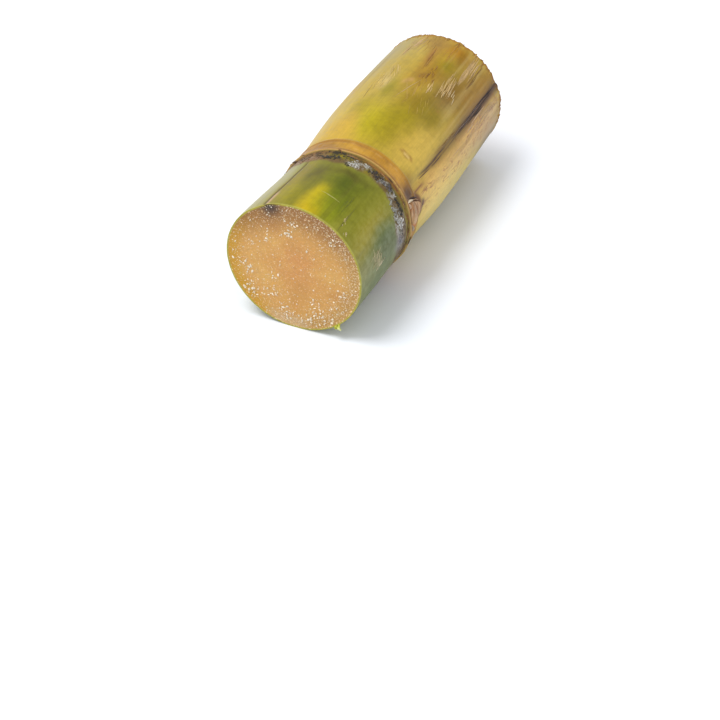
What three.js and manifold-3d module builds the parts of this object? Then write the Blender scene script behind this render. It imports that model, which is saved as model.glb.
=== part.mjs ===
// A length of sugarcane, cut square at both ends and lying on its side.
// Millimetres, +Z up, the cane along +Y with its older (lower) end at -Y.
// Two internodes meet at one node: a leaf-scar lip, a root band with one bud, and a growth ring.
import * as THREE from 'three';
import { mergeVertices } from 'three/addons/utils/BufferGeometryUtils.js';
import Module from 'manifold-3d';

const wasm = await Module();
wasm.setup();

// ---- driving dimensions ----
const LENGTH = 108.4;             // cut to cut
const SIDES = 60;                 // facets round the cane
const RING_STEP = 4;              // spacing of the rings along a plain internode

// the lower internode, from its cut end to the node
const CUT_RADIUS = 22.5;
const WAIST_RADIUS = 21.45;       // just below the leaf scar
const WAIST_AT = 31.6;

// the node
const LIP_AT = 33.9;              // crest of the leaf-scar lip
const LIP_RADIUS = 22.1;
const LIP_HALF_WIDTH = 1.0;
const LIP_TILT = 0.7;             // the lip climbs this far towards the bud's side
const ROOT_BAND_RADIUS = 21.25;
const ROOT_BAND_AT = 38.4;        // middle of the root band
const GROWTH_RING_AT = 41.4;
const GROWTH_RING_RADIUS = 21.4;
const GROWTH_RING_HALF_WIDTH = 0.8;

// the upper internode
const NECK_AT = 43.6;
const NECK_RADIUS = 21.2;
const BELLY_AT = 67;
const BELLY_RADIUS = 22.25;
const FAR_RADIUS = 20.8;

// the axis: a slight zigzag at the node, and the height that lets the cane lie on its belly
const KINK = 1.7;                 // sideways shift of the node
const UPPER_SHIFT = 1.2;          // sideways shift of the upper internode
const AXIS_HEIGHT_CUT = 22.3;
const AXIS_HEIGHT_BELLY = 22.08;

// the bud and the furrow it pressed into the internode above it
const BUD_ANGLE = THREE.MathUtils.degToRad(8);
const BUD_AT = 38.9;
const BUD_HALF_WIDTH = 4.9;
const BUD_HALF_LENGTH = 4.1;
const BUD_HALF_THICKNESS = 1.9;
const BUD_DEPTH = 0.4;            // how far its middle lies below the root band's surface
const BUD_CLEARANCE = 0.3;
const FURROW_ANGLE = THREE.MathUtils.degToRad(26);
const FURROW_DEPTH = 0.75;
const FURROW_HALF_WIDTH = 2.6;
const FURROW_FADE = 46;           // the furrow dies out over this length

// ---- the cane's axis ----
const axisSide = new THREE.SplineCurve([
  new THREE.Vector2(0, 0),
  new THREE.Vector2(0.5 * LIP_AT, 0.6 * KINK),
  new THREE.Vector2(LIP_AT, KINK),
  new THREE.Vector2(NECK_AT, UPPER_SHIFT + 0.15),
  new THREE.Vector2(BELLY_AT, UPPER_SHIFT),
  new THREE.Vector2(LENGTH, UPPER_SHIFT + 0.1),
]);
const axisPoints = axisSide.getPoints(120);

function axisX(y) {
  const next = axisPoints.findIndex((point) => point.x > y);
  if (next < 1) return axisPoints.at(next < 0 ? -1 : 0).y;
  const [a, b] = [axisPoints[next - 1], axisPoints[next]];
  return THREE.MathUtils.mapLinear(y, a.x, b.x, a.y, b.y);
}

function axisZ(y) {
  const drop = THREE.MathUtils.smoothstep(y, 0, BELLY_AT);
  return THREE.MathUtils.lerp(AXIS_HEIGHT_CUT, AXIS_HEIGHT_BELLY, drop);
}

// ---- the cane's half outline: a smooth curve along each internode, with a lip and a ring at the node ----
function outline() {
  const lower = new THREE.CubicBezierCurve(
    new THREE.Vector2(CUT_RADIUS, 0),
    new THREE.Vector2(CUT_RADIUS - 0.35, 0.36 * WAIST_AT),
    new THREE.Vector2(WAIST_RADIUS, 0.62 * WAIST_AT),
    new THREE.Vector2(WAIST_RADIUS, WAIST_AT),
  );
  const upper = new THREE.SplineCurve([
    new THREE.Vector2(NECK_RADIUS, NECK_AT),
    new THREE.Vector2(0.5 * (NECK_RADIUS + BELLY_RADIUS), 52),
    new THREE.Vector2(BELLY_RADIUS - 0.07, 60),
    new THREE.Vector2(BELLY_RADIUS, BELLY_AT),
    new THREE.Vector2(BELLY_RADIUS - 0.14, 80),
    new THREE.Vector2(BELLY_RADIUS - 0.95, 98),
    new THREE.Vector2(FAR_RADIUS, LENGTH),
  ]);
  const node = [
    new THREE.Vector2(LIP_RADIUS, LIP_AT - 0.3 * LIP_HALF_WIDTH),
    new THREE.Vector2(LIP_RADIUS - 0.1, LIP_AT + 0.4 * LIP_HALF_WIDTH),
    new THREE.Vector2(ROOT_BAND_RADIUS + 0.1, LIP_AT + LIP_HALF_WIDTH),
    new THREE.Vector2(ROOT_BAND_RADIUS, ROOT_BAND_AT),
    new THREE.Vector2(ROOT_BAND_RADIUS, GROWTH_RING_AT - GROWTH_RING_HALF_WIDTH),
    new THREE.Vector2(GROWTH_RING_RADIUS, GROWTH_RING_AT),
    new THREE.Vector2(NECK_RADIUS, GROWTH_RING_AT + GROWTH_RING_HALF_WIDTH),
  ];
  const spans = (length) => Math.round(length / RING_STEP);
  return [
    new THREE.Vector2(0, 0),
    ...lower.getPoints(spans(WAIST_AT)),
    ...node,
    ...upper.getPoints(spans(LENGTH - NECK_AT)),
    new THREE.Vector2(0, LENGTH),
  ];
}

// depth of the bud furrow at a point: a rounded groove, deepest beside the bud
function furrowDepth(y, angle, radius) {
  if (y < GROWTH_RING_AT) return 0;
  const fade = Math.exp(-(((y - NECK_AT) / FURROW_FADE) ** 2));
  const across = (radius * (angle - FURROW_ANGLE)) / FURROW_HALF_WIDTH;
  return FURROW_DEPTH * fade * Math.exp(-across * across);
}

// the lip is not square to the axis: it climbs towards the bud
function lipShift(y, angle) {
  const nearness = Math.exp(-(((y - LIP_AT) / (3 * LIP_HALF_WIDTH)) ** 2));
  return LIP_TILT * nearness * Math.cos(angle - BUD_ANGLE);
}

// ---- solids ----
function toSolid(geometry) {
  const plain = geometry.clone();
  plain.deleteAttribute('normal');
  plain.deleteAttribute('uv');
  const merged = mergeVertices(plain, 1e-4);
  return new wasm.Manifold(new wasm.Mesh({
    numProp: 3,
    vertProperties: new Float32Array(merged.attributes.position.array),
    triVerts: new Uint32Array(merged.index.array),
  }));
}

function toGeometry(solid) {
  const mesh = solid.getMesh();
  const geometry = new THREE.BufferGeometry();
  geometry.setAttribute('position', new THREE.BufferAttribute(mesh.vertProperties, 3));
  geometry.setIndex(new THREE.BufferAttribute(mesh.triVerts, 1));
  geometry.computeVertexNormals();
  return geometry;
}

// a lathe-turned cane, then bent along its axis, grooved and tilted point by point
function caneGeometry() {
  const geometry = new THREE.LatheGeometry(outline(), SIDES);
  const position = geometry.attributes.position;
  for (let i = 0; i < position.count; i += 1) {
    const [x, y, z] = [position.getX(i), position.getY(i), position.getZ(i)];
    const radius = Math.hypot(x, z);
    const angle = Math.atan2(z, x);
    const onSkin = radius > 0.5 * CUT_RADIUS;
    const shaped = onSkin ? radius - furrowDepth(y, angle, radius) : radius;
    const along = onSkin ? y + lipShift(y, angle) : y;
    position.setXYZ(
      i,
      axisX(y) + shaped * Math.cos(angle),
      along,
      axisZ(y) + shaped * Math.sin(angle),
    );
  }
  return geometry;
}

// the bud: a flattened ovoid, blunt at its base and drawn to a point towards the upper end
function budGeometry(grow) {
  const geometry = new THREE.SphereGeometry(1, 24, 16);
  const position = geometry.attributes.position;
  for (let i = 0; i < position.count; i += 1) {
    const tip = Math.max(position.getY(i), 0);
    const taper = 1 - 0.35 * tip * tip;
    position.setXYZ(
      i,
      position.getX(i) * (BUD_HALF_THICKNESS * taper + grow),
      position.getY(i) * (BUD_HALF_LENGTH + grow),
      position.getZ(i) * (BUD_HALF_WIDTH * taper + grow),
    );
  }
  const seat = ROOT_BAND_RADIUS - BUD_DEPTH;
  geometry.rotateY(-BUD_ANGLE);
  geometry.translate(
    axisX(BUD_AT) + seat * Math.cos(BUD_ANGLE),
    BUD_AT,
    axisZ(BUD_AT) + seat * Math.sin(BUD_ANGLE),
  );
  return geometry;
}

// everything below the surface the cane rests on, which presses its skin flat
function restingSurface() {
  const thickness = 10;
  const slab = new THREE.BoxGeometry(4 * CUT_RADIUS, 2 * LENGTH, thickness);
  slab.translate(0, 0.5 * LENGTH, -0.5 * thickness);
  return slab;
}

function makeStalk() {
  const solid = toSolid(caneGeometry())
    .subtract(toSolid(restingSurface()))
    .subtract(toSolid(budGeometry(BUD_CLEARANCE)));
  const rind = new THREE.MeshStandardMaterial({ color: '#a8a23c', roughness: 0.45, metalness: 0 });
  const mesh = new THREE.Mesh(toGeometry(solid), rind);
  mesh.name = 'stalk';
  return mesh;
}

function makeBud() {
  const scales = new THREE.MeshStandardMaterial({ color: '#b08a5e', roughness: 0.7, metalness: 0 });
  const mesh = new THREE.Mesh(budGeometry(0), scales);
  mesh.name = 'bud';
  return mesh;
}

const cane = new THREE.Group();
cane.add(makeStalk(), makeBud());

// the origin is under the middle of the whole piece
const middle = new THREE.Box3().setFromObject(cane).getCenter(new THREE.Vector3());
cane.position.set(-middle.x, -middle.y, 0);

export default cane;
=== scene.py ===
import bpy
import numpy as np
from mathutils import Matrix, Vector


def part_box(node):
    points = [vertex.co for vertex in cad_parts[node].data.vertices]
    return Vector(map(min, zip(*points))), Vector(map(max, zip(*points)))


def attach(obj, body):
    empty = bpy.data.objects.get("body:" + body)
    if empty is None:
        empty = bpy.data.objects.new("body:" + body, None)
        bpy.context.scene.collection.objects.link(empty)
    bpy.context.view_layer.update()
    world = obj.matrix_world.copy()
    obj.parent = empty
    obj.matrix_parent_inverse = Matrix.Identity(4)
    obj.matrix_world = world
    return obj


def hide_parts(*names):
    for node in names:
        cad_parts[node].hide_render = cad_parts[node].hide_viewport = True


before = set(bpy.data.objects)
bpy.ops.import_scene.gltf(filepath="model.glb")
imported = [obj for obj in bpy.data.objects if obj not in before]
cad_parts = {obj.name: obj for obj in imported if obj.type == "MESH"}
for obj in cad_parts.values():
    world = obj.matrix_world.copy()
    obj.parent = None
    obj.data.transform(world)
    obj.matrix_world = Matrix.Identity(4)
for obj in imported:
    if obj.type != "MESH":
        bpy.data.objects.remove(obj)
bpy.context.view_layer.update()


# ---------------------------------------------------------------------------------------------
# The cane: a length of fresh sugarcane, grown as one solid piece and cut square at both ends.
# Two internodes meet at a node, where the leaf that wrapped the lower one has fallen and left a
# thin lip, a sooty waxy band below it, and a root band and growth ring above it. Lengths in mm.

MM = 0.001
low, high = (np.array(corner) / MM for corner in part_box("stalk"))
LENGTH = high[1] - low[1]
CUT_RADIUS = 22.5                         # at the lower cut
MEAN_RADIUS = 21.5                        # turns an angle into a width on the skin
NODE_RADIUS = 21.3                        # the same, close to the node
FOOT = np.array([low[0] + CUT_RADIUS, low[1], 0.0])   # on the table, under the lower cut's middle

LIP = 33.9                                # crest of the leaf-scar lip, from the lower cut
LIP_HEIGHT = 0.72
RING = 40.7                               # growth ring
ROOT_BUDS = 30                            # in each row of the root band
BUD_AT, BUD_ANGLE = 38.9, np.radians(8)
FURROW_ANGLE = np.radians(26)
CRACK_ANGLE = np.radians(115.5)
SCAR_AT, SCAR_ANGLE = 47.9, np.radians(48)
SCAR_LONG, SCAR_WIDE = 0.8, 2.1

# (distance from the lower cut, value): radius, and the axis's place sideways and above the table
OUTLINE = [(0, CUT_RADIUS), (8, 22.3), (16, 22.0), (24, 21.55), (30, 21.4), (35, 21.4), (38.4, 21.25),
           (43.6, 21.2), (52, 21.7), (60, 22.15), (67, 22.25), (80, 22.1), (98, 21.3), (LENGTH, 20.8)]
AXIS_SIDE = [(0, 0), (18, 1.05), (LIP, 1.7), (40, 1.4), (60, 1.25), (85, 1.05), (LENGTH, 1.25)]
AXIS_HEIGHT = [(0, 22.3), (30, 22.18), (67, 22.08), (LENGTH, 22.08)]


def srgb(code):
    """A hex colour as three linear values."""
    value = np.array([int(code[i:i + 2], 16) for i in (1, 3, 5)]) / 255
    return np.where(value <= 0.04045, value / 12.92, ((value + 0.055) / 1.055) ** 2.4)


def rounded(x, knots):
    """The line through the knots with its corners rounded: its mean over a window of +-4 mm."""
    at, value = np.array(knots).T
    return np.mean([np.interp(x + step, at, value) for step in np.linspace(-4, 4, 9)], axis=0)


def rise(x, start, end):
    """0 before start and 1 after end, eased between them."""
    t = np.clip((x - start) / (end - start), 0, 1)
    return t * t * (3 - 2 * t)


def bell(x, width):
    """1 at x = 0, falling off on both sides as exp(-(x / width)^2)."""
    return np.exp(-(x / width) ** 2)


def noise(points, size, seed):
    """Random numbers from -1 to 1 on a lattice of cells of the given size, eased between corners."""
    lattice = points / np.asarray(size) + 512
    cell = np.floor(lattice).astype(np.int64)
    part = lattice - cell
    part = part * part * (3 - 2 * part)
    total = np.zeros(points.shape[:-1])
    for corner in np.ndindex(2, 2, 2):
        mixed = ((cell + corner) * (73856093, 19349663, 83492791)).sum(-1) + seed * 961748927
        mixed = ((mixed ^ (mixed >> 13)) * 1274126177) & 0xFFFFFFFF
        value = ((mixed ^ (mixed >> 16)) & 0xFFFF) / 32767.5 - 1
        total += np.where(corner, part, 1 - part).prod(-1) * value
    return total


def fractal(points, size, seed):
    """Three sizes of noise, each half as large and half as strong as the one before."""
    size = np.asarray(size)
    return sum(noise(points, size / 2 ** k, seed + k) / 2 ** k for k in range(3)) / 1.75


def barrel(s, a):
    """The point at length s and angle a on a plain cylinder, where patterns of the skin are read."""
    s, a = np.broadcast_arrays(s, a)
    return np.stack([MEAN_RADIUS * np.cos(a), s, MEAN_RADIUS * np.sin(a)], -1)


def turn(a, centre):
    """The angle from centre to a, between minus and plus half a turn."""
    return (a - centre + np.pi) % (2 * np.pi) - np.pi


def lip_at(a):
    """Length at which the lip's crest lies: it climbs on the side between the bud and the top."""
    wobble = 0.2 * noise(barrel(0, a), 9.0, 3) + 0.02 * noise(barrel(0, a), 1.6, 4)
    return LIP - 0.25 + 0.75 * np.cos(a - np.radians(45)) + wobble


def crack_turn(a, p):
    """The angle from the growth crack to a. The crack wavers a little along the cane."""
    return turn(a, CRACK_ANGLE + 0.012 * noise(p, 7, 8))


def skin_radius(s, a):
    """Radius of the rind: the outline, plus the node's lip and ring, the wax crust, root buds,
    furrow, growth crack and scar, each a bump or groove round its own line, plus faint ripples."""
    p = barrel(s, a)
    r = rounded(s, OUTLINE)
    beyond = s - lip_at(a)                # the lip: steep below its crest, sloping off above it
    ragged = LIP_HEIGHT * (1 + 0.06 * noise(p, (2.4, 4, 2.4), 5))
    r = r + ragged * bell(beyond, np.where(beyond < 0, 0.28, 1.5)) - 0.22 * bell(beyond + 1.3, 1.1)
    crust = rise(beyond, -8.5, -5) * (1 - rise(beyond, -1.4, -0.5))
    r = r + crust * (0.05 + 0.16 * np.maximum(fractal(p, 1.3, 6), 0))
    from_ring = s - RING - 0.35 * np.cos(a - BUD_ANGLE)
    r = r + 0.24 * bell(from_ring, 0.5) - 0.1 * bell(from_ring - 1.1, 0.8)
    for row in range(2):                  # root buds, asleep in the root band
        phase = (turn(a, 0) / (2 * np.pi) * ROOT_BUDS + 0.5 * row) % 1 - 0.5
        across = phase * 2 * np.pi * NODE_RADIUS / ROOT_BUDS
        r = r + 0.16 * bell(np.hypot(across, beyond - 2.9 - 1.9 * row), 0.55)
    beside = turn(a, FURROW_ANGLE - 0.0005 * (s - RING)) * r
    furrow = rise(s, RING - 1.5, RING + 3) * bell(s - RING, 60)
    r = r - furrow * (0.75 * bell(beside, 2.3) - 0.22 * bell(beside + 4.5, 2.4))
    seat = (turn(a, BUD_ANGLE) * r / 4.6) ** 2 + ((s - BUD_AT) / 4.2) ** 2
    r = r - 0.7 * bell(seat, 1)
    split = crack_turn(a, p) * r          # a groove with one side sunk, that closes before the wax
    sunk = 0.16 * rise(split, 0, 0.5) * (1 - rise(split, 3, 9))
    r = r - (1 - rise(s, 25, 28.5)) * (0.42 * bell(split, 0.3) + sunk)
    oval = np.hypot((s - SCAR_AT) / SCAR_LONG, turn(a, SCAR_ANGLE) * r / SCAR_WIDE)
    r = r + 0.13 * bell(oval - 1, 0.3) - 0.08 * bell(oval, 0.6)
    return r + 0.1 * noise(p, 14, 9) + 0.035 * noise(p, (1.6, 22, 1.6), 10)


def skin(s, a, lift=0.0):
    """The point of the rind at length s and angle a, lifted off it by lift. The table presses it flat."""
    r = skin_radius(s, a) + lift
    x = FOOT[0] + rounded(s, AXIS_SIDE) + r * np.cos(a)
    z = rounded(s, AXIS_HEIGHT) + r * np.sin(a)
    return np.stack([x, FOOT[1] + s + 0 * a, np.maximum(z, 0)], -1)


def saw_face(f, a, end):
    """A cut end as rings from its middle (f = 0) to the rind (f = 1): flesh a little sunk and torn,
    with the hard rind standing proud of it. end is 0 for the lower cut and 1 for the upper one."""
    s = end * LENGTH
    middle = FOOT + [rounded(s, AXIS_SIDE), s, rounded(s, AXIS_HEIGHT)]
    point = middle + f[..., None] * (skin(s, a) - middle)
    torn = fractal(point + 40 * end, (1.1, 9, 1.1), 12)
    sunk = (0.22 + 0.12 * end) * (1 - rise(f, 0.94, 0.985)) * rise(f, 0, 0.05)
    out = -sunk + (0.1 + 0.16 * end) * torn * rise(f, 0, 0.05) * (1 - rise(f, 0.97, 1))
    point[..., 1] += out * (2 * end - 1)
    return point


# Rows of points: close together at the lip and at the rims, wide on the plain internodes.
AROUND = 320
angle = np.linspace(0, 2 * np.pi, AROUND, endpoint=False)[None, :]
fine = np.linspace(0, LENGTH, 6000)
spacing = 0.78 - 0.5 * rise(fine, 23, 26) * (1 - rise(fine, 43, 48)) - 0.18 * bell(fine - LIP, 1.2)
spacing = spacing - 0.6 * (bell(fine, 0.8) + bell(fine - LENGTH, 1.5))
rows_to = np.concatenate([[0], np.cumsum(np.diff(fine) / spacing[1:])])
rows = np.interp(np.linspace(0, rows_to[-1], round(rows_to[-1])), rows_to, fine)
along = rows[:, None] + (lip_at(angle) - LIP) * bell(rows[:, None] - LIP, 5)

torn_back = (0.35 * noise(barrel(0, angle), 0.6, 13) + 0.3 * noise(barrel(0, angle), 1.3, 15)
             + 0.25 * noise(barrel(0, angle), 4, 14) - 0.35)
ragged_end = rise(along, LENGTH - 2.5, LENGTH) * torn_back


def ring_shares(number, at_rim):
    """A cut end's rings as shares of its radius: number of them, closer together towards the rim,
    and those at the rim."""
    shares = 1 - (1 - np.linspace(0, 1, number + 2)[1:-1]) ** 1.25 * 0.999
    return np.sort(np.append(shares, at_rim))[:, None] + 0 * angle


RIND_RINGS = 3                            # the rings at a rim, which are the rind's cut edge
lower_share = ring_shares(48, [0.975, 0.985, 0.995])
upper_share = ring_shares(28, [0.97, 0.985, 0.995])[::-1]
lower_face = saw_face(lower_share, angle, 0)
upper_face = saw_face(upper_share, angle, 1)
rind = skin(along, angle)
rind[..., 1] += ragged_end
upper_face[..., 1] += upper_share * ragged_end[-1]
points = np.concatenate([lower_face, rind, upper_face])
middles = [saw_face(np.zeros((1, 1)), np.zeros((1, 1)), end).reshape(1, 3) for end in (0, 1)]


def closed_skin(rings, around):
    """Faces of a stack of rings closed by a point at each end. Points run ring by ring, then the
    first end's point, then the last end's: four to a face between rings, three to a face at the ends."""
    ring, column = np.meshgrid(np.arange(rings - 1), np.arange(around), indexing="ij")
    beside = (column + 1) % around
    sides = np.stack([ring * around + column, (ring + 1) * around + column,
                      (ring + 1) * around + beside, ring * around + beside], -1).reshape(-1, 4)
    column, beside, last = column[0], beside[0], (rings - 1) * around
    first_end = np.stack([0 * column + rings * around, column, beside], -1)
    last_end = np.stack([0 * column + rings * around + 1, last + beside, last + column], -1)
    return sides, np.concatenate([first_end, last_end])


def new_piece(name, vertices, faces, tints, slot, *materials):
    """A mesh object at the origin, its place in its mesh (given in mm), riding on the one body.
    Its points' colours go to the attribute that its materials read."""
    mesh = bpy.data.meshes.new(name)
    mesh.from_pydata(vertices.reshape(-1, 3) * MM, [], [face for kind in faces for face in kind.tolist()])
    mesh.shade_smooth()
    for material in materials:
        mesh.materials.append(material)
    tints = tints.reshape(-1, 3)
    layer = mesh.attributes.new("tint", "FLOAT_COLOR", "POINT")
    layer.data.foreach_set("color", np.column_stack([tints, np.ones(len(tints))]).astype(np.float32).ravel())
    piece = bpy.data.objects.new(name, mesh)
    bpy.context.scene.collection.objects.link(piece)
    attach(piece, "root")
    return piece


def add(tree, kind, inputs=None, **settings):
    """Adds a shader node. inputs gives each socket a value, or the output that is linked to it."""
    made = tree.nodes.new("ShaderNode" + kind)
    for name, value in settings.items():
        setattr(made, name, value)
    for socket, value in (inputs or {}).items():
        if isinstance(value, bpy.types.NodeSocket):
            tree.links.new(value, made.inputs[socket])
        else:
            made.inputs[socket].default_value = value
    return made


def new_material(name):
    """A new material, its node tree, its surface shader, its Object coordinates and its points' colour."""
    material = bpy.data.materials.new(name)
    material.use_nodes = True
    tree = material.node_tree
    place = add(tree, "TexCoord").outputs["Object"]
    painted = add(tree, "Attribute", attribute_name="tint").outputs["Color"]
    return material, tree, tree.nodes["Principled BSDF"], place, painted


# --- how the skin is coloured: broad soft patches, laid over each other by length and angle ---
p = barrel(along, angle)
drift_along = along + 2.2 * noise(p, (9, 15, 9), 21) + 1.6 * noise(p, (2.2, 6, 2.2), 22)
drift_round = angle + (1.5 * noise(p, (8, 18, 8), 23) + 0.9 * noise(p, (2, 8, 2), 24)) / MEAN_RADIUS


def patch(at, degrees, long, wide):
    """1 in the middle of a soft oval on the skin and 0 past its half-length and half-width in mm."""
    round_it = turn(drift_round, np.radians(degrees)) * MEAN_RADIUS
    return np.exp(-(((drift_along - at) / long) ** 2 + (round_it / wide) ** 2) ** 1.3)


def patches(*rows, base=0.0):
    """Soft patches added up, to 1 at most: each row is a patch and then its thickness."""
    return np.clip(base + sum(thickness * patch(*oval) for *oval, thickness in rows), 0, 1)


def lay(tint, coats):
    """tint with coats laid over it in turn: each is a colour and its thickness, from 0 to 1."""
    for code, thickness in coats:
        tint = tint + (srgb(code) - tint) * np.clip(thickness, 0, 1)[..., None]
    return tint


past_lip = rise(along - lip_at(angle), -0.25, 0.1)
broad = fractal(p, (16, 34, 16), 31)
drawn = fractal(p, (2.2, 40, 2.2), 32)    # long narrow streaks
green = lay(srgb("#85812c") + 0 * p, [("#636a14", 0.7 * rise(broad, 0.0, 0.5)),
                                      ("#9a9040", 0.6 * rise(-broad, 0.05, 0.5))])
gold = lay(srgb("#b39a3e") + 0 * p, [("#948423", 0.7 * rise(broad, 0.05, 0.5)),
                                     ("#a87f3a", 0.6 * rise(fractal(p, (7, 26, 7), 38), 0.1, 0.6))])
tint = green + (gold - green) * past_lip[..., None]

# colour, length, angle, half-length, half-width, thickness
GREEN_PATCHES = [
    ("#a39c73", 12, 135, 26, 6, 0.95),    # silvery strip beside the growth crack
    ("#857333", 11, 111, 16, 3, 0.9),
    ("#928829", 8, 104, 10, 5, 0.9),
    ("#5b5425", 21, 95, 7, 4.2, 0.9),     # dull smudge below the wax
    ("#7d7611", 6, 94, 9, 4, 0.9),
    ("#87801a", 5, 88.5, 7, 1.8, 0.8),
    ("#6d6a20", 15, 88.5, 8, 2.4, 0.8),
    ("#cba800", 1.5, 77, 8, 3.5, 1.0),    # yellow flash at the cut
    ("#bfa808", 10, 79.5, 7.5, 2.4, 0.9),
    ("#6c6e14", 21, 80, 5, 2.6, 0.75),
    ("#7b8000", 6, 66, 12, 5, 1.0),       # the greenest part
    ("#656f00", 14, 63, 8, 5, 1.0),
    ("#4d5500", 20.5, 68, 7, 4.6, 1.0),
    ("#4f4a0c", 26, 68, 2.0, 8, 0.75),    # brown scurf at the wax's edge
    ("#5f6602", 19, 55, 8, 4, 0.9),
    ("#74740e", 12, 46, 16, 4.5, 0.85),
    ("#838012", 15, 34, 18, 5, 0.85),
    ("#9b8c25", 13, 26, 14, 4.2, 0.9),
    ("#536621", 17, 13, 12, 4.6, 0.95),   # blue-green bloom
    ("#4d522b", 19, 1, 11, 6, 0.95),
    ("#a59b5f", 6, 2, 6.5, 5, 0.8),
    ("#5f6b3d", 13, -18, 20, 12, 0.95),
    ("#6f7524", 12, 200, 16, 9, 0.8),     # the side away from the bud
    ("#9a8f3c", 22, 232, 9, 12, 0.8),
    ("#59641c", 10, 262, 12, 10, 0.7),
    ("#7d7a30", 20, 160, 8, 5, 0.8),
]
GOLD_PATCHES = [
    ("#bda24e", 50, 134, 15, 9, 0.9),     # golden shoulder
    ("#a08f58", 98, 130, 15, 11, 0.9),
    ("#be9b37", 45, 106, 8, 13, 0.95),
    ("#9d8c25", 61, 106, 7, 5, 0.9),
    ("#ab913f", 78, 105, 10, 6, 0.8),
    ("#ab9c13", 54, 86, 11, 6, 1.0),      # olive patches
    ("#8f7f09", 56, 70, 16, 6, 1.0),
    ("#856c05", 71, 63, 8, 6, 1.0),
    ("#887d1b", 74, 96, 7, 4, 0.9),
    ("#a88f36", 86, 94, 9, 6, 0.8),
    ("#ad8820", 90, 79, 14, 4.5, 0.9),    # ripe orange-brown towards the upper cut
    ("#845d06", 86, 72, 6, 4, 0.7),
    ("#897605", 93, 68, 6, 4, 1.0),
    ("#9d6f06", 104, 66, 5, 6, 1.0),
    ("#84620c", 102, 60.5, 7, 2, 0.8),
    ("#9a6f34", 98, 86, 9, 2.0, 0.75),
    ("#8a6420", 83.5, 80.4, 2, 1.0, 0.7),
    ("#c49c5c", 79.3, 84.4, 1.6, 1.3, 0.85),
    ("#cdb478", 76, 106, 4.5, 2.4, 0.6),
    # painted shadow beside the pale scrape marks
    ("#6f6512", 80, 56.5, 3, 1.7, 0.75),
    ("#aa9a66", 78.5, 49.5, 5.5, 2.4, 0.6),
    ("#b3965e", 100, 51.0, 8.5, 1.2, 0.6),
    ("#87781a", 68, 55, 8, 3.4, 0.7),
    ("#9a7838", 105, 90, 4, 5, 0.85),
    ("#bd9e40", 48, 52, 10, 6, 0.9),      # straw colour beside the furrow
    ("#c9aa4c", 53, 40, 12, 5, 0.9),
    ("#88751a", 69, 54, 7, 4, 0.95),
    ("#755927", 83, 54, 8, 4, 0.9),
    ("#826119", 90, 42, 13, 6, 0.95),
    ("#977025", 98, 33, 14, 4, 0.9),
    ("#a58548", 60, 21, 20, 2.2, 0.9),
    ("#86664a", 92, 21, 18, 1.7, 0.85),
    ("#dab364", 57, 12, 18, 5, 0.95),     # pinkish flank under the furrow
    ("#d3a968", 84, 8, 22, 6, 0.95),
    ("#ebc76e", 58, -6, 16, 5, 0.95),
    ("#b4926a", 94, -6, 16, 5, 0.9),
    ("#ceba70", 66, -19, 28, 9, 0.9),
    ("#5a4a20", 100, -25, 12, 6, 0.9),
    ("#c9aa78", 101, 9, 7, 2.4, 0.7),
    ("#b99a78", 99, -11, 8, 2.4, 0.6),
    ("#b79c44", 62, 188, 22, 10, 0.8),    # the side away from the bud
    ("#8a8022", 86, 208, 16, 8, 0.8),
    ("#a87c34", 101, 236, 9, 12, 0.8),
    ("#bca552", 56, 245, 14, 11, 0.8),
    ("#968c2e", 74, 282, 18, 10, 0.8),
    ("#9c7434", 96, 170, 8, 6, 0.7),
    ("#b1863e", 70, 222, 10, 4, 0.7),
]
for code, *oval, thickness in GREEN_PATCHES:
    tint = lay(tint, [(code, thickness * patch(*oval) * (1 - past_lip))])
for code, *oval, thickness in GOLD_PATCHES:
    tint = lay(tint, [(code, thickness * patch(*oval) * past_lip)])
tint = lay(tint, [
    ("#5f5a18", 0.3 * rise(drawn, 0.15, 0.6) * (1 - past_lip)),
    ("#7f6122", 0.35 * rise(drawn, 0.15, 0.6) * rise(along, 50, 80)),
    ("#cdb778", 0.3 * rise(-drawn, 0.2, 0.7) * rise(along, 50, 80)),
])
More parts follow.
